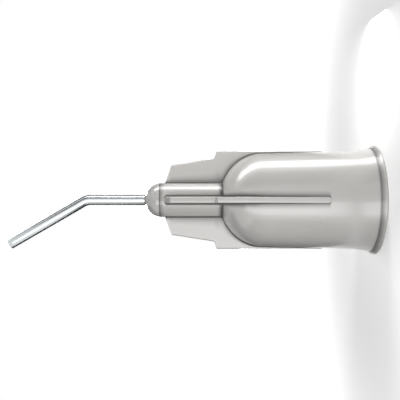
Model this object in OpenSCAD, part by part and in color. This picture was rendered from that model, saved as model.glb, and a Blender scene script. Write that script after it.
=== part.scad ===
// Dispensing needle tip: a moulded Luer hub with four stepped fins, a bent steel cannula, and the
// bead of cured adhesive that holds the cannula in the hub's nose.
// The hub stands on its mouth: the origin is the centre of the mouth's face, and +Z points along
// the hub to the nose. The fins stand along X and Y, and the cannula bends towards -X.

/* [Luer socket] */
// Diameter of the tapered socket at the mouth
socket_d = 4.3; // [4:0.05:4.8]
// Diameter that the socket loses for each millimetre of depth
luer_taper = 0.06; // [0.04:0.005:0.08]
// Depth of the tapered socket
socket_depth = 8.3; // [7:0.1:8.8]
// Width of the chamfer that leads into the socket
socket_chamfer = 0.12; // [0.05:0.01:0.25]
// Angle of the funnel's wall from the axis, in degrees
funnel_angle = 45; // [40:1:60]

/* [Barrel and rim] */
// Wall between the socket and the outside of the barrel
barrel_wall = 1.41; // [1:0.01:2]
// Length from the mouth to the start of the domed shoulder
barrel_l = 8; // [7:0.1:8.6]
// Radius of the shoulder's arc, as seen from the side
shoulder_r = 3.12; // [2.6:0.02:3.4]
// How far the rim stands out from the line of the barrel
rim_proud = 0.34; // [0.25:0.01:0.6]
// Length of the rim along the hub
rim_w = 0.4; // [0.3:0.02:0.8]
// How much the rim narrows from the mouth to its front edge
rim_slope = 0.2; // [0.12:0.01:0.22]
// Radius of the rim's rounded edge at the mouth
rim_edge_r = 0.08; // [0.04:0.01:0.1]
// Radius of the hollow flare that runs from the barrel out to the rim
flare_r = 8; // [4:0.5:16]

/* [Neck] */
// Length of the whole hub, from the mouth's face to the nose
hub_l = 15.3; // [14.8:0.1:18]
// Wall of the neck round the adhesive well
neck_wall = 0.468; // [0.3:0.01:0.7]
// Radius of the blend between the shoulder and the neck
neck_blend_r = 0.16; // [0.08:0.01:0.3]

/* [Fins] */
// Number of fins round the hub
fin_count = 4; // [2:1:6]
// Thickness of a fin at its outer edge
fin_t = 0.4; // [0.3:0.02:0.6]
// Draft of each side of a fin, in degrees
fin_draft = 0.8; // [0.2:0.1:1.5]
// Height of a fin above the barrel at its end towards the mouth
fin_proud = 0.05; // [0.03:0.01:0.2]
// Distance from the mouth to the fins
fin_start_z = 3.7; // [2.5:0.1:5]
// Bare length of neck between the fins and the nose
fin_nose_gap = 0.33; // [0.1:0.01:0.8]
// Height of a fin above the neck at its front corner
fin_front_h = 1.28; // [0.9:0.02:1.4]
// Length along the hub of the fin's slanted front edge
fin_front_l = 0.49; // [0.3:0.01:0.9]
// Height of a fin above the neck at the foot of its step
fin_step_h = 1.76; // [1.5:0.02:1.9]
// Length along the hub of the sloping edge between the front corner and the step
fin_slope_l = 3.03; // [2:0.05:4]
// Length along the hub of the slanted step
fin_step_l = 0.18; // [0.1:0.01:0.5]
// Radius of the blend between a fin and the neck
fin_root_r = 0.12; // [0.06:0.01:0.25]

/* [Cannula] */
// Outer diameter of the cannula
cannula_d = 0.718; // [0.5:0.001:1]
// Wall of the cannula
cannula_wall = 0.154; // [0.08:0.001:0.2]
// Clearance all round the cannula in the hub's passage
passage_gap = 0.02; // [0.01:0.005:0.05]
// Length of the stop that the cannula's rear end seats against
stop_l = 0.3; // [0.2:0.05:0.6]
// Distance from the hub's nose to the corner of the bend
bend_reach = 5.27; // [3:0.05:8]
// Angle of the bend, in degrees
bend_angle = 30; // [10:1:60]
// Radius of the bend at the middle of the tube
bend_r = 1; // [0.8:0.05:2]
// Length from the corner of the bend to the tip
tip_l = 6.34; // [3:0.05:9]

/* [Adhesive] */
// Gap all round the cannula in the adhesive well
well_gap = 0.39; // [0.2:0.01:0.6]
// Depth of the adhesive well
well_depth = 2.4; // [1.2:0.1:3]
// Height of the adhesive bead above the hub's nose
bead_h = 1.1; // [0.7:0.05:1.2]
// Radius of the hollow ring where the adhesive has crept up the cannula
bead_creep_r = 0.1; // [0.05:0.01:0.2]

/* [Hidden] */
$fn = 96;

// How far a cut runs past the face that it opens
past = 0.5;

cannula_r = cannula_d / 2;
lumen_r = cannula_r - cannula_wall;
passage_r = cannula_r + passage_gap;
well_r = cannula_r + well_gap;
neck_r = well_r + neck_wall;

// The barrel's outside runs parallel to the socket's wall, at the same taper
side_angle = atan(luer_taper / 2);
function socket_r(z) = socket_d / 2 - luer_taper / 2 * z;
function barrel_r(z) = socket_r(z) + barrel_wall;

funnel_end_z = socket_depth + (socket_r(socket_depth) - lumen_r) / tan(funnel_angle);
seat_z = funnel_end_z + stop_l;
well_z = hub_l - well_depth;

// The shoulder's arc leaves the barrel without a corner
shoulder_c = [barrel_r(barrel_l) - shoulder_r * cos(side_angle), barrel_l - shoulder_r * sin(side_angle)];

// The flare's arc touches the barrel's side and ends at the rim's front edge
rim_r = barrel_r(0) + rim_proud;
rim_front_r = rim_r - rim_slope;
flare_rise = (rim_front_r - barrel_r(rim_w)) * cos(side_angle);
flare_run = sqrt(2 * flare_r * flare_rise - flare_rise * flare_rise);
flare_end_z = rim_w - flare_rise * sin(side_angle) + flare_run * cos(side_angle);
flare_c = [barrel_r(flare_end_z) + flare_r * cos(side_angle), flare_end_z + flare_r * sin(side_angle)];

// Corners of a fin's side view, from the nose back to the mouth
fin_front_z = hub_l - fin_nose_gap;
fin_corner_z = fin_front_z - fin_front_l;
fin_step_z = fin_corner_z - fin_slope_l;
fin_top_z = fin_step_z - fin_step_l;
fin_r = barrel_r(fin_start_z) + fin_proud;

// Where the cannula starts and stops bending
bend_z = hub_l + bend_reach;
bend_setback = bend_r * tan(bend_angle / 2);

// The bead is a cap of a sphere that is as wide as the neck at its foot
bead_r = (neck_r * neck_r + bead_h * bead_h) / (2 * bead_h);
bead_c = [0, hub_l + bead_h - bead_r];

// Half the thickness of a fin at a distance from the axis
function fin_half(r) = fin_t / 2 + (fin_r - r) * tan(fin_draft);

// The fins start inside the neck's wall, so that they never reach each other or the cannula
fin_root_x = neck_r - neck_wall / 2;

// Point where the tangent from p touches the outer side of a circle
function tangent_point(p, c, r) =
    let (v = c - p, gap = norm(v), turn = acos(r / gap), back = atan2(-v.y, -v.x) - turn)
    c + r * [cos(back), sin(back)];

// Fills the hollow between an arc and the upright side above it, in the half section (radius, height)
module blend(side_r, arc_c, arc_r, r) {
    c = [side_r + r, arc_c.y + sqrt(pow(arc_r + r, 2) - pow(side_r + r - arc_c.x, 2))];
    touch = arc_c + (c - arc_c) * arc_r / (arc_r + r);
    difference() {
        polygon([[0, touch.y], touch, c, [side_r, c.y], [0, c.y]]);
        translate(c) circle(r);
    }
}

// Half section of the rim, with its rounded edge and slanted side
module rim_section() {
    edge_c = [rim_r - rim_edge_r, rim_edge_r];
    front = [rim_front_r, rim_w];
    polygon([[0, 0], [edge_c.x, 0], edge_c, tangent_point(front, edge_c, rim_edge_r), front, [0, rim_w]]);
    translate(edge_c) circle(rim_edge_r);
}

// Half section of the tapered barrel and its flare
module barrel_section() {
    flare_touch = [barrel_r(flare_end_z), flare_end_z];
    polygon([[0, 0], [barrel_r(0), 0], [barrel_r(barrel_l), barrel_l], [0, barrel_l]]);
    difference() {
        polygon([[0, rim_w], [rim_front_r, rim_w], flare_c, flare_touch, [0, flare_end_z]]);
        translate(flare_c) circle(flare_r, $fn = 720);
    }
}

// Half section of the domed shoulder, the neck and the blend between them
module shoulder_section() {
    intersection() {
        translate(shoulder_c) circle(shoulder_r, $fn = 180);
        translate([0, barrel_l]) square([barrel_r(0), shoulder_r]);
    }
    translate([0, barrel_l]) square([neck_r, hub_l - barrel_l]);
    blend(neck_r, shoulder_c, shoulder_r, neck_blend_r);
}

// Half section of the hollow inside the hub: socket, funnel, stop, passage and well
module cavity_section() {
    lead_r = socket_r(socket_chamfer) + socket_chamfer;
    polygon([
        [0, -past],
        [lead_r + past, -past],
        [socket_r(socket_chamfer), socket_chamfer],
        [socket_r(socket_depth), socket_depth],
        [lumen_r, funnel_end_z],
        [lumen_r, seat_z],
        [passage_r, seat_z],
        [passage_r, well_z],
        [well_r, well_z],
        [well_r, hub_l + past],
        [0, hub_l + past]
    ]);
}

// Side view of a fin from the axis out: its front edge, slope and step
module fin_side() {
    polygon([
        [0, fin_start_z],
        [fin_r, fin_start_z],
        [fin_r, fin_top_z],
        [neck_r + fin_step_h, fin_step_z],
        [neck_r + fin_front_h, fin_corner_z],
        [neck_r, fin_front_z],
        [0, fin_front_z]
    ]);
}

// Blend between the neck and one side of the fin that lies along +X, in plan
module fin_root() {
    side = fin_half(0) * cos(fin_draft);
    along = sqrt(pow(neck_r + fin_root_r, 2) - pow(side + fin_root_r, 2));
    c = [along, side + fin_root_r];
    rotate(-fin_draft) difference() {
        polygon([[fin_root_x, 0], [along, 0], c, c * neck_r / (neck_r + fin_root_r)]);
        translate(c) circle(fin_root_r);
    }
}

// One fin along +X with drafted sides, a round end towards the mouth and a round end at the nose
module fin_blank() {
    root = [fin_root_x, fin_half(fin_root_x)];
    edge = [fin_r + past, fin_half(fin_r + past)];
    back_z = fin_start_z + fin_half(fin_r);
    nose_z = fin_front_z - fin_half(neck_r);
    translate([0, 0, back_z]) linear_extrude(nose_z - back_z) {
        polygon([[root.x, -root.y], [edge.x, -edge.y], edge, root]);
        fin_root();
        mirror([0, 1]) fin_root();
    }
    for (z = [back_z, nose_z])
        translate([root.x, 0, z]) rotate([0, 90, 0]) cylinder(h = edge.x - root.x, r1 = root.y, r2 = edge.y);
}

module fins() {
    intersection() {
        for (i = [0 : fin_count - 1]) rotate(360 / fin_count * i) fin_blank();
        rotate_extrude() fin_side();
    }
}

module hub() {
    color("gainsboro") difference() {
        union() {
            rotate_extrude() {
                rim_section();
                barrel_section();
                shoulder_section();
            }
            fins();
        }
        rotate_extrude() cavity_section();
    }
}

// The ring that the cannula has for its section
module tube_section() {
    difference() {
        circle(cannula_r);
        circle(lumen_r);
    }
}

// The tube is laid out from the start of its bend, so that its three stretches share their end faces
module cannula() {
    bend_start_z = bend_z - bend_setback;
    color("silver") translate([0, 0, bend_start_z]) {
        mirror([0, 0, 1]) linear_extrude(bend_start_z - seat_z) tube_section();
        translate([-bend_r, 0, 0]) {
            rotate([90, 0, 0]) rotate_extrude(angle = bend_angle) translate([bend_r, 0]) tube_section();
            rotate([0, -bend_angle, 0]) translate([bend_r, 0, 0])
                linear_extrude(tip_l - bend_setback) tube_section();
        }
    }
}

module adhesive_bead() {
    color("whitesmoke") difference() {
        rotate_extrude() {
            intersection() {
                translate(bead_c) circle(bead_r);
                translate([0, hub_l]) square([neck_r, bead_h]);
            }
            blend(cannula_r, bead_c, bead_r, bead_creep_r);
            translate([0, well_z]) square([well_r, well_depth]);
        }
        translate([0, 0, well_z - past]) cylinder(h = well_depth + 2 * bead_h + past, r = cannula_r);
    }
}

hub();
cannula();
adhesive_bead();
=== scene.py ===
"""Dresses the dispensing needle tip: its moulded hub, its bent steel cannula and its bead of adhesive."""

import logging
import math
from collections.abc import Sequence
from dataclasses import dataclass
from enum import Enum

import bmesh
import bpy
from mathutils import Matrix, Vector


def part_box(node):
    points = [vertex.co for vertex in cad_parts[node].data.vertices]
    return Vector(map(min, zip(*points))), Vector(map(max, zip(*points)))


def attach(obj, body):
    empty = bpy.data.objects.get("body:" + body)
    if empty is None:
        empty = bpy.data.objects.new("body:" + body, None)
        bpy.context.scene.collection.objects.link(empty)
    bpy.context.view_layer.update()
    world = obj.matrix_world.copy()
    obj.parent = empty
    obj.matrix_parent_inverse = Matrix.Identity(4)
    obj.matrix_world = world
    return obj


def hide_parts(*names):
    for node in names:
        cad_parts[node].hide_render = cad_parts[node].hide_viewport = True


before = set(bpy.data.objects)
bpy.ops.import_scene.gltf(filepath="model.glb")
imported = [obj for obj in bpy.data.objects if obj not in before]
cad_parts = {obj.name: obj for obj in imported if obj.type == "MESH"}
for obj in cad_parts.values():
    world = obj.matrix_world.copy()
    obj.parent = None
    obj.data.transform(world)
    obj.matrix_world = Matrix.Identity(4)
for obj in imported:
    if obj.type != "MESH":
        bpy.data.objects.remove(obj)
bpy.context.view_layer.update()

MM = 0.001
MOST_ROUNDED = 0.45  # the largest share of a side that rounding a corner may take
MASK_SPAN = (0.3, 0.7)  # most of a mottling mask lies between these
CORNER_COAT = 0.1  # the share of the coat that a corner keeps

# How much painted shade, with less coat, the points of a half row get, from the fin's middle over its root to
# the sector's seam
CORNER_SHADE_PROFILE = [0.0] * 11 + [0.25, 0.75] + [1.0] * 4 + [0.9, 0.3] + [0.0] * 11
FIN_SIDE = 11  # the last point of a half row that lies on the fin's own side
LOG = logging.getLogger("needle_tip")

Point = tuple[float, float]
Color = tuple[float, float, float, float]


class Body(Enum):
    """The CAD bodies that a piece can ride on."""

    ROOT = "root"


class Slot(Enum):
    """The record's material slots."""

    HUB = "hub"
    CANNULA = "cannula"
    ADHESIVE = "adhesive"


# ---------------------------------------------------------------- outlines


def arc(centre: Point, radius: float, start: float, end: float, steps: int) -> list[Point]:
    """Points along a circular arc.

    Args:
        centre: The arc's centre.
        radius: Its radius.
        start: The angle of the first point, in degrees.
        end: The angle of the last point, in degrees.
        steps: How many chords stand for the arc.

    Returns:
        steps + 1 points, both ends included.
    """
    turns = [math.radians(start + (end - start) * i / steps) for i in range(steps + 1)]
    return [(centre[0] + radius * math.cos(t), centre[1] + radius * math.sin(t)) for t in turns]


def rounded(corners: Sequence[Point], radius: float, steps: int = 4) -> list[Point]:
    """An open outline with each inner corner rounded off.

    Args:
        corners: The outline's corners, in order.
        radius: The radius that each corner gets.
        steps: How many chords stand for each rounded corner.

    Returns:
        The outline's points, with its two ends kept.
    """
    points = [corners[0]]
    for before, corner, after in zip(corners, corners[1:], corners[2:]):
        here = Vector(corner)
        back = (Vector(before) - here).normalized()
        on = (Vector(after) - here).normalized()
        half = back.angle(on) / 2
        shorter = min((Vector(before) - here).length, (Vector(after) - here).length)
        reach = min(radius / math.tan(half), MOST_ROUNDED * shorter)
        for i in range(steps + 1):
            t = i / steps
            bend = here + back * reach * (1 - t) ** 2 + on * reach * t**2
            points.append((bend.x, bend.y))
    points.append(corners[-1])
    return points


def height_at(outline: Sequence[Point], z: float) -> float:
    """The radius of an outline of (z, radius) points at a height, with z rising along it.

    Args:
        outline: The outline's (z, radius) points, with z rising.
        z: The height.

    Returns:
        The radius there, or 0 beyond the outline's ends.
    """
    for (z0, r0), (z1, r1) in zip(outline, outline[1:]):
        if z0 <= z <= z1 and z1 > z0:
            return r0 + (r1 - r0) * (z - z0) / (z1 - z0)
    return 0.0


def smooth_step(value: float) -> float:
    """0 below 0, 1 above 1, and a smooth rise between them."""
    t = min(max(value, 0.0), 1.0)
    return t * t * (3 - 2 * t)


# ---------------------------------------------------------------- meshes


def new_object(name: str, mesh: bpy.types.Mesh) -> bpy.types.Object:
    """Links a mesh into the scene as an object of that name, at the origin.

    Args:
        name: The object's name.
        mesh: Its mesh.

    Returns:
        The new object.
    """
    obj = bpy.data.objects.new(name, mesh)
    bpy.context.scene.collection.objects.link(obj)
    return obj


def clean_mesh(mesh: bpy.types.Mesh, merge_mm: float = 0.0005) -> None:
    """Merges doubled points, drops flat faces and turns all faces outwards.

    Args:
        mesh: The mesh, which is changed in place.
        merge_mm: Points closer than this are merged, in millimetres.
    """
    shape = bmesh.new()
    shape.from_mesh(mesh)
    bmesh.ops.remove_doubles(shape, verts=shape.verts, dist=merge_mm * MM)
    bmesh.ops.dissolve_degenerate(shape, edges=shape.edges, dist=merge_mm * MM)
    bmesh.ops.recalc_face_normals(shape, faces=shape.faces)
    shape.to_mesh(mesh)
    shape.free()


def shade(mesh: bpy.types.Mesh, sharp_deg: float) -> None:
    """Shades a mesh smooth, with edges sharper than an angle left crisp."""
    mesh.shade_smooth()
    mesh.set_sharp_from_angle(angle=math.radians(sharp_deg))


def mark_corner_shade(mesh: bpy.types.Mesh, weights: Sequence[float]) -> None:
    """Stores how much painted shade, with less coat, each point gets, from 0 to 1, as the attribute named
    corner.

    Args:
        mesh: The mesh that gets the attribute.
        weights: One number for each of its points, from 0 to 1.
    """
    mesh.attributes.new("corner", "FLOAT", "POINT").data.foreach_set("value", list(weights))


def loop_grid(name: str, rows: Sequence[Sequence[Vector]], wrap_points: bool) -> bpy.types.Mesh:
    """A skin through rows of points, joined round from the last row to the first.

    Args:
        name: The mesh's name.
        rows: Rows of as many points each, in metres.
        wrap_points: Whether each row closes on itself as well.

    Returns:
        The new mesh.
    """
    count = len(rows[0])
    spans = count if wrap_points else count - 1
    verts = [p for row in rows for p in row]
    faces = []
    for i in range(len(rows)):
        here, above = i * count, (i + 1) % len(rows) * count
        for j in range(spans):
            k = (j + 1) % count
            faces.append((here + j, here + k, above + k, above + j))
    mesh = bpy.data.meshes.new(name)
    mesh.from_pydata(verts, [], faces)
    return mesh


def bake_modifiers(obj: bpy.types.Object, mesh_name: str) -> bpy.types.Object:
    """Replaces an object's mesh by its evaluated one, and removes its modifiers.

    Args:
        obj: The object with live modifiers.
        mesh_name: The name of the plain mesh.

    Returns:
        The same object, now with a plain mesh.
    """
    depsgraph = bpy.context.evaluated_depsgraph_get()
    plain = bpy.data.meshes.new_from_object(obj.evaluated_get(depsgraph), depsgraph=depsgraph)
    plain.name = mesh_name
    obj.modifiers.clear()
    obj.data = plain
    return obj


# ---------------------------------------------------------------- geometry node trees


def fill_inputs(tree: bpy.types.NodeTree, node: bpy.types.Node, inputs: dict[str | int, object]) -> None:
    """Gives a node's inputs, by name or index, their values or the output sockets that they join."""
    for key, value in inputs.items():
        if isinstance(value, bpy.types.NodeSocket):
            tree.links.new(value, node.inputs[key])
        else:
            node.inputs[key].default_value = value


class NodeTree:
    """A small helper that lays out one node tree and wires it."""

    def __init__(self, name: str, kind: str) -> None:
        """Starts an empty tree.

        Args:
            name: The tree's name.
            kind: The tree's type, such as GeometryNodeTree or ShaderNodeTree.
        """
        self.tree = bpy.data.node_groups.new(name, kind)
        self.start = self.tree.nodes.new("NodeGroupInput")
        self.end = self.tree.nodes.new("NodeGroupOutput")

    def socket(self, name: str, kind: str, incoming: bool, default: float | int | None = None) -> None:
        """Adds a named input or output to the tree, with its default where it has one.

        Args:
            name: The socket's name.
            kind: Its type, such as Float.
            incoming: Whether it is an input.
            default: The value that it starts with.
        """
        side = "INPUT" if incoming else "OUTPUT"
        item = self.tree.interface.new_socket(name=name, in_out=side, socket_type=f"NodeSocket{kind}")
        if default is not None:
            item.default_value = default

    def add(
        self, kind: str, inputs: dict[str | int, object] | None = None, **settings: object
    ) -> bpy.types.Node:
        """Adds a node.

        Args:
            kind: The node's type name.
            inputs: Values, or output sockets to join, for its inputs by name or index.
            settings: Attributes to set on the node before its inputs.

        Returns:
            The new node.
        """
        node = self.tree.nodes.new(kind)
        for key, value in settings.items():
            setattr(node, key, value)
        fill_inputs(self.tree, node, inputs or {})
        return node

    def math(self, operation: str, a: object, b: object = 0.0) -> bpy.types.NodeSocket:
        """The result of a Math node on one or two values or sockets.

        Args:
            operation: What the node does.
            a: The first value or socket.
            b: The second value or socket.

        Returns:
            The node's output.
        """
        kind = "ShaderNodeMath"
        return self.add(kind, {0: a, 1: b}, operation=operation).outputs[0]

    def link(self, source: bpy.types.NodeSocket, target: bpy.types.NodeSocket) -> None:
        """Joins an output to an input."""
        self.tree.links.new(source, target)


def geometry_modifier(obj: bpy.types.Object, tree: bpy.types.NodeTree, values: dict[str, object]) -> None:
    """Adds a Geometry Nodes modifier and sets its inputs by their identifiers.

    Args:
        obj: The object that gets the modifier.
        tree: The node tree.
        values: The inputs' values by name.
    """
    modifier = obj.modifiers.new(tree.name, "NODES")
    modifier.node_group = tree
    for item in tree.interface.items_tree:
        if item.item_type == "SOCKET" and item.in_out == "INPUT" and item.name in values:
            modifier[item.identifier] = values[item.name]


def ring_of_sectors() -> bpy.types.NodeTree:
    """A tree that repeats a sector round Z, welds the seams and sets the material.

    Returns:
        The node tree.
    """
    nodes = NodeTree("ring_of_sectors", "GeometryNodeTree")
    nodes.socket("Sector", "Geometry", True)
    nodes.socket("Count", "Int", True, 4)
    nodes.socket("Weld Distance", "Float", True, 1e-7)
    nodes.socket("Material", "Material", True)
    nodes.socket("Geometry", "Geometry", False)
    start = nodes.start.outputs
    places = nodes.add("GeometryNodePoints", {"Count": start["Count"]})
    index = nodes.add("GeometryNodeInputIndex").outputs[0]
    turn = nodes.math("DIVIDE", nodes.math("MULTIPLY", index, math.tau), start["Count"])
    angles = nodes.add("ShaderNodeCombineXYZ", {"Z": turn})
    rotation = nodes.add("FunctionNodeEulerToRotation", {0: angles.outputs[0]})
    copies = nodes.add(
        "GeometryNodeInstanceOnPoints",
        {"Points": places.outputs[0], "Instance": start["Sector"], "Rotation": rotation.outputs[0]},
    )
    whole = nodes.add("GeometryNodeRealizeInstances", {"Geometry": copies.outputs[0]})
    welded = nodes.add(
        "GeometryNodeMergeByDistance", {"Geometry": whole.outputs[0], "Distance": start["Weld Distance"]}
    )
    finish = {"Geometry": welded.outputs[0], "Material": start["Material"]}
    dressed = nodes.add("GeometryNodeSetMaterial", finish)
    nodes.link(dressed.outputs[0], nodes.end.inputs[0])
    return nodes.tree


def tube_along_path() -> bpy.types.NodeTree:
    """A tree that sweeps a circle along a path of edges, and stores where each point lies on the unbent tube.

    Returns:
        The node tree.
    """
    nodes = NodeTree("tube_along_path", "GeometryNodeTree")
    nodes.socket("Path", "Geometry", True)
    nodes.socket("Radius", "Float", True, 0.36 * MM)
    nodes.socket("Sides", "Int", True, 32)
    nodes.socket("Material", "Material", True)
    nodes.socket("Geometry", "Geometry", False)
    start = nodes.start.outputs
    route = nodes.add("GeometryNodeMeshToCurve", {"Mesh": start["Path"]})
    along = nodes.add("GeometryNodeSplineParameter").outputs["Length"]
    marked_route = nodes.add("GeometryNodeCaptureAttribute", {"Geometry": route.outputs[0]})
    marked_route.capture_items.new("FLOAT", "Along")
    nodes.link(along, marked_route.inputs["Along"])
    circle = {"Resolution": start["Sides"], "Radius": start["Radius"]}
    ring = nodes.add("GeometryNodeCurvePrimitiveCircle", circle)
    place = nodes.add("GeometryNodeInputPosition").outputs[0]
    marked_ring = nodes.add("GeometryNodeCaptureAttribute", {"Geometry": ring.outputs["Curve"]})
    marked_ring.capture_items.new("VECTOR", "Ring Place")
    nodes.link(place, marked_ring.inputs["Ring Place"])
    tube = nodes.add(
        "GeometryNodeCurveToMesh",
        {"Curve": marked_route.outputs["Geometry"], "Profile Curve": marked_ring.outputs["Geometry"]},
    )
    parts = nodes.add("ShaderNodeSeparateXYZ", {0: marked_ring.outputs["Ring Place"]})
    unbent = nodes.add(
        "ShaderNodeCombineXYZ",
        {"X": parts.outputs["X"], "Y": parts.outputs["Y"], "Z": marked_route.outputs["Along"]},
    )
    stored = nodes.add(
        "GeometryNodeStoreNamedAttribute",
        {"Geometry": tube.outputs[0], "Name": "unbent", "Value": unbent.outputs[0]},
        data_type="FLOAT_VECTOR",
        domain="POINT",
    )
    whole = nodes.add("GeometryNodeRealizeInstances", {"Geometry": stored.outputs[0]})
    finish = {"Geometry": whole.outputs[0], "Material": start["Material"]}
    dressed = nodes.add("GeometryNodeSetMaterial", finish)
    nodes.link(dressed.outputs[0], nodes.end.inputs[0])
    return nodes.tree


# ---------------------------------------------------------------- finishes


def mottle_group() -> bpy.types.NodeTree:
    """A shader group of slow and fine mottling: a mask from 0 to 1 and a height for a bump.

    Returns:
        The node tree.
    """
    nodes = NodeTree("mottle", "ShaderNodeTree")
    nodes.socket("Place", "Vector", True)
    nodes.socket("Slow Scale", "Float", True, 200.0)
    nodes.socket("Fine Scale", "Float", True, 4000.0)
    nodes.socket("Fine Share", "Float", True, 0.3)
    nodes.socket("Mask", "Float", False)
    nodes.socket("Height", "Float", False)
    start = nodes.start.outputs
    slow = nodes.add(
        "ShaderNodeTexNoise",
        {"Vector": start["Place"], "Scale": start["Slow Scale"], "Detail": 3.0, "Roughness": 0.5},
    )
    fine = nodes.add(
        "ShaderNodeTexNoise",
        {"Vector": start["Place"], "Scale": start["Fine Scale"], "Detail": 2.0, "Roughness": 0.6},
    )
    mixed = nodes.add(
        "ShaderNodeMix", {"Factor": start["Fine Share"], "A": slow.outputs[0], "B": fine.outputs[0]}
    )
    nodes.link(mixed.outputs[0], nodes.end.inputs["Mask"])
    nodes.link(fine.outputs[0], nodes.end.inputs["Height"])
    return nodes.tree


def corner_shade_group() -> bpy.types.NodeTree:
    """A shader group that paints shade into corners, darkening their colour, and takes most of the coat off
    them.

    Returns:
        The node tree.
    """
    nodes = NodeTree("painted_corner_shade", "ShaderNodeTree")
    nodes.socket("Color", "Color", True)
    nodes.socket("Shade Color", "Color", True)
    nodes.socket("Coat", "Float", True, 1.0)
    nodes.socket("Corner", "Float", True, 0.0)
    nodes.socket("Color", "Color", False)
    nodes.socket("Coat Weight", "Float", False)
    start = nodes.start.outputs
    # painted shade: the colour is mixed toward a darker tone by the corner weight
    colors = {"Factor": start["Corner"], "A": start["Color"], "B": start["Shade Color"]}
    corner_shade = nodes.add("ShaderNodeMix", colors, data_type="RGBA")
    least = nodes.math("MULTIPLY", start["Coat"], CORNER_COAT)
    coats = {"Value": start["Corner"], "To Min": start["Coat"], "To Max": least}
    coat = nodes.add("ShaderNodeMapRange", coats)
    nodes.link(corner_shade.outputs["Result"], nodes.end.inputs["Color"])
    nodes.link(coat.outputs[0], nodes.end.inputs["Coat Weight"])
    return nodes.tree


def toned(color: Color, factor: float) -> Color:
    """A colour made darker or lighter by a factor, up to white."""
    return tuple(min(c * factor, 1.0) for c in color[:3]) + (1.0,)


class Finish:
    """What the finishes share: the start of a node material, and the nodes that both kinds use."""

    def begin(self, name: str) -> tuple[bpy.types.Material, bpy.types.NodeTree, bpy.types.Node]:
        """Starts a material and gives it, its node tree and its Principled shader node."""
        material = bpy.data.materials.new(name)
        material.use_nodes = True
        tree = material.node_tree
        return material, tree, tree.nodes["Principled BSDF"]

    def grouped(
        self, tree: bpy.types.NodeTree, group: bpy.types.NodeTree, inputs: dict[str | int, object]
    ) -> bpy.types.Node:
        """A node for a shared group, with its inputs filled in."""
        node = tree.nodes.new("ShaderNodeGroup")
        node.node_tree = group
        fill_inputs(tree, node, inputs)
        return node

    def ramp(
        self, tree: bpy.types.NodeTree, factor: bpy.types.NodeSocket, low: Color, high: Color
    ) -> bpy.types.Node:
        """A Mix node from a low colour to a high one, driven by a factor from 0 to 1."""
        node = tree.nodes.new("ShaderNodeMix")
        node.data_type = "RGBA"
        fill_inputs(tree, node, {"Factor": factor, "A": low, "B": high})
        return node

    def span(
        self, tree: bpy.types.NodeTree, factor: bpy.types.NodeSocket, low: float, high: float
    ) -> bpy.types.Node:
        """A Map Range node from a mask, most of which lies inside MASK_SPAN, to a span of values."""
        node = tree.nodes.new("ShaderNodeMapRange")
        source = {"Value": factor, "From Min": MASK_SPAN[0], "From Max": MASK_SPAN[1]}
        fill_inputs(tree, node, source | {"To Min": low, "To Max": high})
        return node

    def bump(
        self, tree: bpy.types.NodeTree, height: bpy.types.NodeSocket, depth: float, shader: bpy.types.Node
    ) -> None:
        """Feeds a height to the shader's normal through a Bump node of a depth in metres."""
        node = tree.nodes.new("ShaderNodeBump")
        fill_inputs(tree, node, {"Strength": 1.0, "Distance": depth, "Height": height})
        tree.links.new(node.outputs["Normal"], shader.inputs["Normal"])


@dataclass(frozen=True)
class MouldedPlastic(Finish):
    """A smooth opaque moulded plastic with a soft gloss, and painted shade darkening its corners."""

    name: str
    color: Color
    tint: float
    roughness: tuple[float, float]
    coat: float
    coat_roughness: float
    painted_shade_tone: float
    slow_scale: float
    fine_scale: float
    relief_mm: float

    def build(self, mottle: bpy.types.NodeTree, corners: bpy.types.NodeTree) -> bpy.types.Material:
        """Makes the material.

        Args:
            mottle: The shared mottling group.
            corners: The shared group that paints shade into corners and dulls their coat.

        Returns:
            The new material.
        """
        material, tree, shader = self.begin(self.name)
        place = tree.nodes.new("ShaderNodeTexCoord").outputs["Object"]
        scales = {"Slow Scale": self.slow_scale, "Fine Scale": self.fine_scale, "Fine Share": 0.25}
        group = self.grouped(tree, mottle, {"Place": place} | scales)
        dark = toned(self.color, 1 - self.tint)
        light = toned(self.color, 1 + self.tint)
        color = self.ramp(tree, group.outputs["Mask"], dark, light)
        # Painted shade: the corner attribute darkens the colour in corners, creases and joints, and takes
        # coat off there
        corner = tree.nodes.new("ShaderNodeAttribute")
        corner.attribute_name = "corner"
        values = {"Shade Color": toned(self.color, self.painted_shade_tone), "Coat": self.coat}
        sources = {"Corner": corner.outputs["Fac"], "Color": color.outputs["Result"]}
        corner_shade = self.grouped(tree, corners, values | sources)
        tree.links.new(corner_shade.outputs["Color"], shader.inputs["Base Color"])
        tree.links.new(corner_shade.outputs["Coat Weight"], shader.inputs["Coat Weight"])
        gloss = self.span(tree, group.outputs["Mask"], *self.roughness)
        tree.links.new(gloss.outputs[0], shader.inputs["Roughness"])
        self.bump(tree, group.outputs["Height"], self.relief_mm * MM, shader)
        shader.inputs["IOR"].default_value = 1.5
        shader.inputs["Coat Roughness"].default_value = self.coat_roughness
        return material


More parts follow.
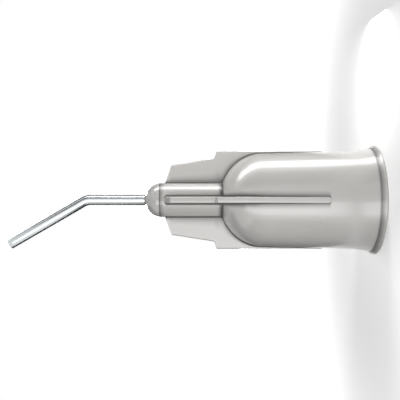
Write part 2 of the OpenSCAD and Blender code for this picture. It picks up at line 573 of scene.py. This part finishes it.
@dataclass(frozen=True)
class DrawnSteel(Finish):
    """Drawn stainless steel tube, with fine streaks along its length."""

    name: str
    color: Color
    tint: float
    roughness: tuple[float, float]
    streak_scale: float
    streak_stretch: float
    relief_mm: float

    def build(self, mottle: bpy.types.NodeTree) -> bpy.types.Material:
        """Makes the material.

        Args:
            mottle: The shared mottling group.

        Returns:
            The new material.
        """
        material, tree, shader = self.begin(self.name)
        place = tree.nodes.new("ShaderNodeAttribute")
        place.attribute_name = "unbent"
        stretch = tree.nodes.new("ShaderNodeMapping")
        across = {"Vector": place.outputs["Vector"], "Scale": (1.0, 1.0, self.streak_stretch)}
        fill_inputs(tree, stretch, across)
        scales = {"Slow Scale": self.streak_scale / 4, "Fine Scale": self.streak_scale, "Fine Share": 0.6}
        group = self.grouped(tree, mottle, {"Place": stretch.outputs[0]} | scales)
        dark = toned(self.color, 1 - self.tint)
        color = self.ramp(tree, group.outputs["Mask"], dark, self.color)
        tree.links.new(color.outputs["Result"], shader.inputs["Base Color"])
        gloss = self.span(tree, group.outputs["Mask"], *self.roughness)
        tree.links.new(gloss.outputs[0], shader.inputs["Roughness"])
        self.bump(tree, group.outputs["Height"], self.relief_mm * MM, shader)
        shader.inputs["Metallic"].default_value = 1.0
        return material


# ---------------------------------------------------------------- pieces


@dataclass
class HubSizes:
    """The hub's sizes in millimetres.

    They are the CAD hub's own, up to fin_root_r. The rest are only this skin's: its small roundings, the
    reach of its painted corner shade and the spacing of its rows.
    """

    socket_d: float = 4.3
    luer_taper: float = 0.06
    socket_depth: float = 8.3
    socket_chamfer: float = 0.12
    funnel_deg: float = 45.0
    barrel_wall: float = 1.41
    barrel_l: float = 8.0
    shoulder_r: float = 3.12
    rim_proud: float = 0.34
    rim_w: float = 0.4
    rim_slope: float = 0.2
    rim_edge_r: float = 0.08
    flare_r: float = 8.0
    neck_r: float = 1.217
    neck_blend_r: float = 0.16
    well_r: float = 0.749
    well_depth: float = 2.4
    passage_r: float = 0.379
    lumen_r: float = 0.205
    stop_l: float = 0.3
    fin_count: int = 4
    fin_t: float = 0.4
    fin_draft_deg: float = 0.8
    fin_proud: float = 0.05
    fin_start_z: float = 3.7
    fin_nose_gap: float = 0.33
    fin_front_h: float = 1.28
    fin_front_l: float = 0.49
    fin_step_h: float = 1.76
    fin_slope_l: float = 3.03
    fin_step_l: float = 0.18
    fin_root_r: float = 0.12
    nose_edge_r: float = 0.04
    rim_front_r: float = 0.04
    inside_edge_r: float = 0.05
    fin_edge_r: float = 0.09
    fin_corner_r: float = 0.07
    dome_foot_fade: float = 0.07
    rim_back_fade: float = 0.11
    rim_back_gap: float = 0.03
    nose_edge_fade: float = 0.1
    fin_root_fade: float = 0.05
    row_step: float = 0.4
    row_least: float = 0.008
    body_steps: int = 12


class Hub:
    """The moulded hub, as one closed skin made of equal sectors with one fin each."""

    def __init__(self, sizes: HubSizes, length: float) -> None:
        """Works out what follows from the sizes.

        Args:
            sizes: The hub's sizes, in millimetres.
            length: The hub's whole length, in millimetres.
        """
        self.s = sizes
        self.length = length
        self.side = math.atan(sizes.luer_taper / 2)
        self.fin_r = self.barrel_r(sizes.fin_start_z) + sizes.fin_proud
        self.outside = self.outside_outline()
        self.fin = self.fin_outline()

    def socket_r(self, z: float) -> float:
        """The socket's radius at a depth."""
        return self.s.socket_d / 2 - self.s.luer_taper / 2 * z

    def barrel_r(self, z: float) -> float:
        """The radius of the barrel's straight side at a height."""
        return self.socket_r(z) + self.s.barrel_wall

    def outside_outline(self) -> list[Point]:
        """The outside of the hub without its fins.

        Returns:
            Its (z, radius) points, from the mouth to the nose.
        """
        s = self.s
        rim_r = self.barrel_r(0) + s.rim_proud
        front = (rim_r - s.rim_slope, s.rim_w)
        side_deg = math.degrees(self.side)
        slope_deg = math.degrees(math.atan2(s.rim_slope, s.rim_w - s.rim_edge_r))
        edge = arc((rim_r - s.rim_edge_r, s.rim_edge_r), s.rim_edge_r, -90, slope_deg, 8)
        rise = (front[0] - self.barrel_r(s.rim_w)) * math.cos(self.side)
        run = math.sqrt(2 * s.flare_r * rise - rise * rise)
        flare_end = s.rim_w - rise * math.sin(self.side) + run * math.cos(self.side)
        flare_c = (
            self.barrel_r(flare_end) + s.flare_r * math.cos(self.side),
            flare_end + s.flare_r * math.sin(self.side),
        )
        flare_deg = math.degrees(math.atan2(front[1] - flare_c[1], front[0] - flare_c[0])) % 360
        flare = arc(flare_c, s.flare_r, flare_deg, 180 + side_deg, 12)
        dome_c = (
            self.barrel_r(s.barrel_l) - s.shoulder_r * math.cos(self.side),
            s.barrel_l - s.shoulder_r * math.sin(self.side),
        )
        blend_c_r = s.neck_r + s.neck_blend_r
        reach = s.shoulder_r + s.neck_blend_r
        blend_c = (blend_c_r, dome_c[1] + math.sqrt(reach**2 - (blend_c_r - dome_c[0]) ** 2))
        touch_deg = math.degrees(math.atan2(blend_c[1] - dome_c[1], blend_c[0] - dome_c[0]))
        self.dome_foot = (blend_c[1] - 0.8 * s.neck_blend_r, blend_c[1] - 0.1 * s.neck_blend_r)
        dome = arc(dome_c, s.shoulder_r, side_deg, touch_deg, 36)
        blend = arc(blend_c, s.neck_blend_r, touch_deg + 180, 180, 8)
        nose = arc((s.neck_r - s.nose_edge_r, self.length - s.nose_edge_r), s.nose_edge_r, 0, 90, 4)
        rim_front = rounded([edge[-1], front, flare[1]], s.rim_front_r, 3)[1:-1]
        points = edge + rim_front + flare[1:] + dome[1:] + blend[1:] + nose
        return [(z, r) for r, z in points]

    def fin_outline(self) -> list[Point]:
        """A fin's side view.

        Returns:
            Its (z, radius) points, from its end near the mouth to the nose.
        """
        s = self.s
        front_z = self.length - s.fin_nose_gap
        corner_z = front_z - s.fin_front_l
        step_z = corner_z - s.fin_slope_l
        corners = [
            (s.fin_start_z, self.fin_r),
            (step_z - s.fin_step_l, self.fin_r),
            (step_z, s.neck_r + s.fin_step_h),
            (corner_z, s.neck_r + s.fin_front_h),
            (front_z, s.neck_r),
        ]
        return rounded(corners, s.fin_corner_r)

    def fin_half(self, r: float, z: float) -> float:
        """Half the thickness of a fin at a radius and a height, with its two round ends.

        Args:
            r: The distance from the axis.
            z: The height.

        Returns:
            Half the thickness, or 0 past the fin's ends.
        """
        s = self.s
        half = s.fin_t / 2 + (self.fin_r - r) * math.tan(math.radians(s.fin_draft_deg))
        nose_z = self.length - s.fin_nose_gap
        past_end = max(s.fin_start_z + half - z, z - (nose_z - half), 0.0)
        return math.sqrt(max(half * half - past_end * past_end, 0.0))

    def fin_height(self, body_r: float, z: float) -> float:
        """How far a fin stands out of the body at a height, or 0 where it doesn't.

        Args:
            body_r: The radius of the body there, without the fin.
            z: The height.

        Returns:
            The fin's height above the body.
        """
        s = self.s
        if not s.fin_start_z < z < self.length - s.fin_nose_gap:
            return 0.0
        start = smooth_step((z - s.fin_start_z) / s.fin_proud)
        return max(height_at(self.fin, z) - body_r, 0.0) * start

    def half_section(self, body_r: float, z: float) -> list[Point]:
        """Half of a sector's outline at a height, from the fin's middle to the seam.

        Args:
            body_r: The radius of the body there, without the fin.
            z: The height.

        Returns:
            The points, always as many.
        """
        s = self.s
        tall = self.fin_height(body_r, z)
        top_r = body_r + tall
        half = self.fin_half(top_r, z) if tall > 0 else 0.0
        spread = smooth_step(1 - tall / s.fin_proud)
        flat = max(half, s.fin_t / 2 * spread)
        edge = min(s.fin_edge_r, 0.45 * tall, 0.8 * half)
        root = min(s.fin_root_r, 0.45 * tall)
        foot_half = self.fin_half(body_r, z) if tall > 0 else half
        foot_half = max(foot_half, s.fin_t / 2 * spread)
        points: list[Point] = []
        for i in range(3):
            across = (flat - edge) * i / 2
            points.append((math.sqrt(max(top_r**2 - across**2, 0.0)), across))
        shoulder = math.sqrt(max(top_r**2 - (flat - edge) ** 2, 0.0)) - edge
        for i in range(1, 6):
            turn = math.radians(90 - 90 * i / 5)
            points.append((shoulder + edge * math.sin(turn), flat - edge + edge * math.cos(turn)))
        root_c = foot_half + root
        foot_x = math.sqrt(max((body_r + root) ** 2 - root_c**2, 0.0))
        for i in range(1, 6):
            t = i / 5
            points.append((shoulder + (foot_x - shoulder) * t, flat + (foot_half - flat) * t))
        touch = math.atan2(root_c, foot_x)
        for i in range(1, 6):
            angle = math.radians(270) - (math.radians(90) - touch) * i / 5
            points.append((foot_x + root * math.cos(angle), root_c + root * math.sin(angle)))
        return self.to_seam(points, body_r)

    def to_seam(self, points: list[Point], body_r: float) -> list[Point]:
        """Adds the points of the bare body, from the fin's root to the sector's seam.

        Args:
            points: The points so far, which the new ones join.
            body_r: The radius of the body there.

        Returns:
            All the points.
        """
        seam = math.pi / self.s.fin_count
        last = math.atan2(points[-1][1], points[-1][0])
        steps = self.s.body_steps
        for i in range(1, steps + 1):
            angle = last + (seam - last) * i / steps
            points.append((body_r * math.cos(angle), body_r * math.sin(angle)))
        return points

    def corner_shade_row(self, body_r: float, z: float) -> list[float]:
        """How much painted shade, with less coat, a row's points get by the fins' roots, dome's foot, rim's
        back and nose's edge.

        Args:
            body_r: The radius of the body there, without the fin.
            z: The row's height.

        Returns:
            One number from 0 to 1 for each point of the row.
        """
        low, high = self.dome_foot
        s = self.s
        ring = 1 - smooth_step(max(low - z, z - high, 0.0) / s.dome_foot_fade)
        ring = max(ring, 1 - smooth_step(abs(z - s.rim_w - s.rim_back_gap) / s.rim_back_fade))
        ring = max(ring, 1 - smooth_step((self.length - z) / s.nose_edge_fade))
        root = smooth_step(self.fin_height(body_r, z) / s.fin_root_fade)
        half = []
        for i, weight in enumerate(CORNER_SHADE_PROFILE):
            on_body = i > FIN_SIDE or root < 0.5
            half.append(max(root * weight, ring if on_body else 0.0))
        return half[:0:-1] + half

    def inside_outline(self) -> list[Point]:
        """The mouth's face, the hollow inside and the nose's face.

        Returns:
            Their (radius, z) points, from the mouth's rim to the nose's edge.
        """
        s = self.s
        funnel_l = (self.socket_r(s.socket_depth) - s.lumen_r) / math.tan(math.radians(s.funnel_deg))
        lumen_z = s.socket_depth + funnel_l
        seat_z = lumen_z + s.stop_l
        well_z = self.length - s.well_depth
        lead_r = self.socket_r(s.socket_chamfer) + s.socket_chamfer
        mouth_r = self.barrel_r(0) + s.rim_proud - s.rim_edge_r
        corners = [
            (mouth_r, 0.0),
            (lead_r, 0.0),
            (self.socket_r(s.socket_chamfer), s.socket_chamfer),
            (self.socket_r(s.socket_depth), s.socket_depth),
            (s.lumen_r, lumen_z),
            (s.lumen_r, seat_z),
            (s.passage_r, seat_z),
            (s.passage_r, well_z),
            (s.well_r, well_z),
            (s.well_r, self.length),
            (s.neck_r - s.nose_edge_r, self.length),
        ]
        return rounded(corners, s.inside_edge_r)

    def rows(self) -> tuple[list[list[Vector]], list[float]]:
        """Lays out one sector's skin, from the mouth up the outside and back down the inside.

        Returns:
            The rows of points in metres, and how much painted shade each point gets.
        """
        outside = list(self.outside)
        heights = [z for z, _ in outside]
        extra = [z for z, _ in self.fin]
        s = self.s
        end_half = self.fin_half(self.fin_r, s.fin_start_z + 1)
        extra += [s.fin_start_z + end_half * (1 - math.cos(math.radians(a))) for a in range(0, 91, 10)]
        nose_z = self.length - s.fin_nose_gap
        foot_half = self.fin_half(s.neck_r, nose_z - 1)
        extra += [nose_z - foot_half * (1 - math.cos(math.radians(a))) for a in range(0, 91, 10)]
        extra += [s.fin_start_z + s.fin_proud * i / 6 for i in range(7)]
        extra += [s.row_step * i for i in range(1, int(self.length / s.row_step))]
        for z in extra:
            if all(abs(z - other) > s.row_least for other in heights):
                outside.append((z, height_at(self.outside, z)))
                heights.append(z)
        outside.sort(key=lambda point: point[0])
        rows = [self.sector_row(self.half_section(r, z), z) for z, r in outside]
        corners = [w for z, r in outside for w in self.corner_shade_row(r, z)]
        template = self.half_section(1.0, 0.0)
        for r, z in self.inside_outline()[-2:0:-1]:
            rows.append(self.sector_row([(x * r, y * r) for x, y in template], z))
            corners += [0.0] * len(rows[-1])
        return rows, corners

    def sector_row(self, half: list[Point], z: float) -> list[Vector]:
        """A whole row of a sector in metres, mirrored from the half row in millimetres."""
        mirrored = [(x, -y) for x, y in reversed(half[1:])]
        return [Vector((x, y, z)) * MM for x, y in mirrored + half]

    def build(self, material: bpy.types.Material) -> bpy.types.Object:
        """Makes the hub.

        Args:
            material: The hub's material.

        Returns:
            The finished object.
        """
        rows, corners = self.rows()
        sector = loop_grid("hub_sector", rows, wrap_points=False)
        mark_corner_shade(sector, corners)
        obj = new_object("hub_moulding", sector)
        values = {"Count": self.s.fin_count, "Weld Distance": 2e-7, "Material": material}
        geometry_modifier(obj, ring_of_sectors(), values)
        bake_modifiers(obj, "hub_moulding")
        clean_mesh(obj.data, 0.0003)
        shade(obj.data, 40)
        return obj


@dataclass
class Cannula:
    """The bent tube, in millimetres: the CAD cannula's sizes, with the rear end just off its stop."""

    radius: float = 0.359
    wall: float = 0.154
    rear_z: float = 10.301
    bend_z: float = 20.57
    bend_deg: float = 30.0
    bend_r: float = 1.0
    tip_l: float = 6.34
    end_edge_r: float = 0.02
    sides: int = 40
    straight_steps: int = 24
    bend_steps: int = 20
    tip_steps: int = 16

    def path(self) -> list[Vector]:
        """The middle of the tube.

        Returns:
            Its points in metres, from the rear end to the tip.
        """
        setback = self.bend_r * math.tan(math.radians(self.bend_deg / 2))
        start_z = self.bend_z - setback
        n = self.straight_steps
        straight = [Vector((0, 0, self.rear_z + (start_z - self.rear_z) * i / n)) for i in range(n)]
        bend = [
            Vector((x - self.bend_r, 0, z + start_z))
            for x, z in arc((0.0, 0.0), self.bend_r, 0, self.bend_deg, self.bend_steps)
        ]
        lean = math.radians(self.bend_deg)
        onward = Vector((-math.sin(lean), 0, math.cos(lean)))
        n = self.tip_steps
        tip = [bend[-1] + onward * (self.tip_l - setback) * i / n for i in range(1, n + 1)]
        return [p * MM for p in straight + bend + tip]

    def build(self, material: bpy.types.Material) -> bpy.types.Object:
        """Makes the cannula.

        Args:
            material: The cannula's material.

        Returns:
            The finished object.
        """
        points = self.path()
        mesh = bpy.data.meshes.new("cannula_path")
        mesh.from_pydata(points, [(i, i + 1) for i in range(len(points) - 1)], [])
        obj = new_object("cannula_tube", mesh)
        values = {"Radius": self.radius * MM, "Sides": self.sides, "Material": material}
        geometry_modifier(obj, tube_along_path(), values)
        wall = obj.modifiers.new("wall", "SOLIDIFY")
        wall.thickness = self.wall * MM
        wall.offset = -1.0
        edge = obj.modifiers.new("edge", "BEVEL")
        edge.width = self.end_edge_r * MM
        edge.segments = 2
        edge.limit_method = "ANGLE"
        edge.angle_limit = math.radians(60)
        bake_modifiers(obj, "cannula_tube")
        shade(obj.data, 50)
        return obj


@dataclass
class AdhesiveBead:
    """The cured adhesive: a dome on the nose, with its stem down in the well, in millimetres."""

    nose_z: float
    neck_r: float = 1.217
    cannula_r: float = 0.359
    well_r: float = 0.749
    well_depth: float = 2.4
    height: float = 1.1
    creep_r: float = 0.1
    # How much painted shade the dome's foot and the tube's joint get, and how fast it fades
    foot_shade: float = 0.8
    foot_fade: float = 0.07
    joint_shade: float = 0.7
    sides: int = 96

    def outline(self) -> list[Point]:
        """The bead's closed half section.

        Returns:
            Its (radius, z) points, from the foot of the dome round to the top of the well.
        """
        ball_r = (self.neck_r**2 + self.height**2) / (2 * self.height)
        ball = (0.0, self.nose_z + self.height - ball_r)
        creep_c_r = self.cannula_r + self.creep_r
        reach = ball_r + self.creep_r
        creep = (creep_c_r, ball[1] + math.sqrt(reach**2 - creep_c_r**2))
        foot_deg = math.degrees(math.asin((self.nose_z - ball[1]) / ball_r))
        touch_deg = math.degrees(math.atan2(creep[1] - ball[1], creep[0]))
        well_z = self.nose_z - self.well_depth
        dome = arc(ball, ball_r, foot_deg, touch_deg, 28)
        hollow = arc(creep, self.creep_r, touch_deg + 180, 180, 8)
        stem = [(self.cannula_r, well_z), (self.well_r, well_z), (self.well_r, self.nose_z)]
        return dome + hollow[1:] + stem

    def build(self, material: bpy.types.Material) -> bpy.types.Object:
        """Makes the bead.

        Args:
            material: The bead's material.

        Returns:
            The finished object.
        """
        rows = []
        corners = []
        for r, z in self.outline():
            # Painted shade: the dome's foot on the nose and its joint with the tube are darkened in colour
            foot = self.foot_shade * (1 - smooth_step((z - self.nose_z) / self.foot_fade))
            foot = foot if r > self.well_r else 0.0
            joint = self.joint_shade * (1 - smooth_step((r - self.cannula_r) / self.creep_r))
            corners += [max(foot, joint if z > self.nose_z else 0.0)] * self.sides
            turns = [math.tau * i / self.sides for i in range(self.sides)]
            rows.append([Vector((r * math.cos(t), r * math.sin(t), z)) * MM for t in turns])
        mesh = loop_grid("adhesive_dome", rows, wrap_points=True)
        mark_corner_shade(mesh, corners)
        obj = new_object("adhesive_dome", mesh)
        mesh.materials.append(material)
        clean_mesh(mesh)
        shade(mesh, 45)
        return obj


# ---------------------------------------------------------------- stage


@dataclass(frozen=True)
class Lamp:
    """A rectangular lamp, in millimetres, whose level is its radiance: 1 is white."""

    name: str
    toward: tuple[float, float, float]
    distance: float
    size: tuple[float, float]
    level: float


@dataclass(frozen=True)
class Card:
    """A dark upright card beside the object, in millimetres: its place, depth and height."""

    x: float
    depth: tuple[float, float]
    height: tuple[float, float]


@dataclass
class Studio:
    """The floor, the lamps, the world and the camera round the object."""

    view_z: float
    distance: float = 47.0 * MM
    lens_mm: float = 58.92
    roll_deg: float = -90.0
    floor_lift: float = 0.3
    floor_near: float = 8.0
    floor_far: float = 34.0
    ambient: float = 0.05
    cards: tuple[Card, ...] = (
        Card(-14.0, (-14.0, 70.0), (0.0, 17.0)),
        Card(-14.0, (0.0, 60.0), (17.0, 45.0)),
        Card(16.0, (3.0, 70.0), (0.0, 45.0)),
        Card(19.0, (-27.0, -8.0), (0.0, 45.0)),
    )
    lamps: tuple[Lamp, ...] = (
        Lamp("key", (1.0, -0.08, 0.0), 13.0, (4.2, 25.0), 6.0),
        Lamp("fill", (-0.34, -1.0, 0.0), 19.0, (10.0, 34.0), 2.4),
        Lamp("back", (-0.1, 1.0, 0.35), 150.0, (120.0, 120.0), 4.2),
    )

    def floor(self) -> None:
        """A wide pale floor under the rim, white to the camera and to reflections where no shadow falls."""
        mesh = bpy.data.meshes.new("floor")
        reach = 1.5
        corners = [(-reach, -reach, 0), (reach, -reach, 0), (reach, reach, 0), (-reach, reach, 0)]
        mesh.from_pydata(corners, [], [(0, 1, 2, 3)])
        material = bpy.data.materials.new("floor_white")
        material.use_nodes = True
        tree = material.node_tree
        shader = tree.nodes["Principled BSDF"]
        shader.inputs["Base Color"].default_value = (0.9, 0.9, 0.9, 1.0)
        shader.inputs["Roughness"].default_value = 1.0
        shader.inputs["Specular IOR Level"].default_value = 0.0
        shader.inputs["Emission Color"].default_value = (1.0, 1.0, 1.0, 1.0)
        place = tree.nodes.new("ShaderNodeTexCoord")
        away = tree.nodes.new("ShaderNodeVectorMath")
        away.operation = "LENGTH"
        tree.links.new(place.outputs["Object"], away.inputs[0])
        lift = tree.nodes.new("ShaderNodeMapRange")
        lift.interpolation_type = "SMOOTHSTEP"
        lift.inputs["From Min"].default_value = self.floor_near * MM
        lift.inputs["From Max"].default_value = self.floor_far * MM
        lift.inputs["To Min"].default_value = self.floor_lift
        lift.inputs["To Max"].default_value = 1.0
        tree.links.new(away.outputs["Value"], lift.inputs["Value"])
        glow = tree.nodes.new("ShaderNodeMath")
        glow.operation = "MULTIPLY"
        tree.links.new(lift.outputs[0], glow.inputs[1])
        tree.links.new(self.seen_rays(tree), glow.inputs[0])
        tree.links.new(glow.outputs[0], shader.inputs["Emission Strength"])
        mesh.materials.append(material)
        new_object("floor", mesh)

    def dark_cards(self) -> None:
        """Dark cards that only reflections see, which give the hub and the tube darker edges."""
        material = bpy.data.materials.new("card_black")
        material.use_nodes = True
        shader = material.node_tree.nodes["Principled BSDF"]
        shader.inputs["Base Color"].default_value = (0.02, 0.02, 0.02, 1.0)
        shader.inputs["Roughness"].default_value = 1.0
        for i, card in enumerate(self.cards):
            (y0, y1), (z0, z1) = card.depth, card.height
            corners = [(card.x, y0, z0), (card.x, y1, z0), (card.x, y1, z1), (card.x, y0, z1)]
            mesh = bpy.data.meshes.new(f"dark_card_{i}")
            mesh.from_pydata([Vector(c) * MM for c in corners], [], [(0, 1, 2, 3)])
            mesh.materials.append(material)
            obj = new_object(f"dark_card_{i}", mesh)
            obj.visible_camera = False
            obj.visible_diffuse = False
            obj.visible_shadow = False

    def seen_rays(self, tree: bpy.types.NodeTree) -> bpy.types.NodeSocket:
        """1 for what the camera, a reflection or clear glass sees, and 0 for the light that falls on things.

        Args:
            tree: The tree of the world or of a material.

        Returns:
            An output of 1 or 0.
        """
        rays = tree.nodes.new("ShaderNodeLightPath")
        seen = rays.outputs["Is Camera Ray"]
        for other in ("Is Glossy Ray", "Is Transmission Ray"):
            either = tree.nodes.new("ShaderNodeMath")
            either.operation = "MAXIMUM"
            tree.links.new(seen, either.inputs[0])
            tree.links.new(rays.outputs[other], either.inputs[1])
            seen = either.outputs[0]
        return seen

    def world(self) -> None:
        """An even grey light, with white where the camera or a reflection looks past the object."""
        world = bpy.data.worlds.new("studio")
        bpy.context.scene.world = world
        world.use_nodes = True
        tree = world.node_tree
        tree.nodes.clear()
        shaders = []
        for strength in (self.ambient, 1.0):
            node = tree.nodes.new("ShaderNodeBackground")
            node.inputs["Color"].default_value = (1.0, 1.0, 1.0, 1.0)
            node.inputs["Strength"].default_value = strength
            shaders.append(node)
        mixed = tree.nodes.new("ShaderNodeMixShader")
        out = tree.nodes.new("ShaderNodeOutputWorld")
        tree.links.new(self.seen_rays(tree), mixed.inputs[0])
        tree.links.new(shaders[0].outputs[0], mixed.inputs[1])
        tree.links.new(shaders[1].outputs[0], mixed.inputs[2])
        tree.links.new(mixed.outputs[0], out.inputs[0])

    def lamp(self, lamp: Lamp) -> None:
        """Adds a soft lamp that faces the middle of the object.

        Args:
            lamp: What the lamp is like.
        """
        light = bpy.data.lights.new(lamp.name, "AREA")
        light.shape = "RECTANGLE"
        light.size = lamp.size[0] * MM
        light.size_y = lamp.size[1] * MM
        light.energy = lamp.level * math.pi * light.size * light.size_y
        obj = bpy.data.objects.new(lamp.name, light)
        obj.visible_camera = False
        bpy.context.scene.collection.objects.link(obj)
        aim = Vector(lamp.toward).normalized()
        turn = aim.to_track_quat("Z", "Y").to_matrix().to_4x4()
        obj.matrix_world = Matrix.Translation(Vector((0, 0, self.view_z)) + aim * lamp.distance * MM) @ turn

    def camera(self) -> None:
        """A level camera on the fins' side, rolled so that the hub lies along the picture."""
        data = bpy.data.cameras.new("camera")
        data.lens = self.lens_mm
        data.sensor_width = 36.0
        data.clip_start = 0.001
        data.clip_end = 10.0
        obj = bpy.data.objects.new("camera", data)
        bpy.context.scene.collection.objects.link(obj)
        level = Matrix.Rotation(math.radians(90), 4, "X")
        roll = Matrix.Rotation(math.radians(self.roll_deg), 4, "Z")
        obj.matrix_world = Matrix.Translation((0, -self.distance, self.view_z)) @ level @ roll
        bpy.context.scene.camera = obj

    def build(self) -> None:
        """Sets up the whole stage."""
        scene = bpy.context.scene
        scene.view_settings.view_transform = "Standard"
        self.camera()
        self.floor()
        self.dark_cards()
        self.world()
        for lamp in self.lamps:
            self.lamp(lamp)


# ---------------------------------------------------------------- assembly


def stands_for(obj: bpy.types.Object, node: str) -> None:
    """Makes a piece stand for a CAD node: hides the node and hangs the piece on the root body.

    Args:
        obj: The finished piece.
        node: The CAD node that it stands for.
    """
    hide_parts(node)
    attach(obj, Body.ROOT.value)
    LOG.info("%s stands for %s, %d faces", obj.name, node, len(obj.data.polygons))


def main() -> None:
    """Builds the stage and every piece, in order."""
    logging.basicConfig(level=logging.INFO, format="%(name)s: %(message)s")
    nose_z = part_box("hub")[1][2] / MM
    Studio(view_z=12.45 * MM).build()
    mottle = mottle_group()
    corners = corner_shade_group()
    plastic = MouldedPlastic(
        name="moulded_plastic",
        color=(0.70, 0.685, 0.662, 1.0),
        tint=0.02,
        roughness=(0.26, 0.36),
        coat=1.0,
        coat_roughness=0.14,
        # painted shade in corners, at 16% of the base colour
        painted_shade_tone=0.16,
        slow_scale=250.0,
        fine_scale=9000.0,
        relief_mm=0.0006,
    )
    adhesive = MouldedPlastic(
        name="cured_adhesive",
        color=(0.72, 0.708, 0.688, 1.0),
        tint=0.015,
        roughness=(0.12, 0.2),
        coat=0.8,
        coat_roughness=0.06,
        # painted shade at the bead's foot and joint, at 16% of the base colour
        painted_shade_tone=0.16,
        slow_scale=500.0,
        fine_scale=3000.0,
        relief_mm=0.0004,
    )
    steel = DrawnSteel(
        name="drawn_steel",
        color=(0.64, 0.675, 0.69, 1.0),
        tint=0.08,
        roughness=(0.18, 0.3),
        streak_scale=7000.0,
        streak_stretch=0.015,
        relief_mm=0.0001,
    )
    hub = Hub(HubSizes(), nose_z).build(plastic.build(mottle, corners))
    stands_for(hub, "hub")
    cannula = Cannula().build(steel.build(mottle))
    stands_for(cannula, "cannula")
    bead = AdhesiveBead(nose_z=nose_z).build(adhesive.build(mottle, corners))
    stands_for(bead, "adhesive_bead")


if __name__ == "__main__":
    main()
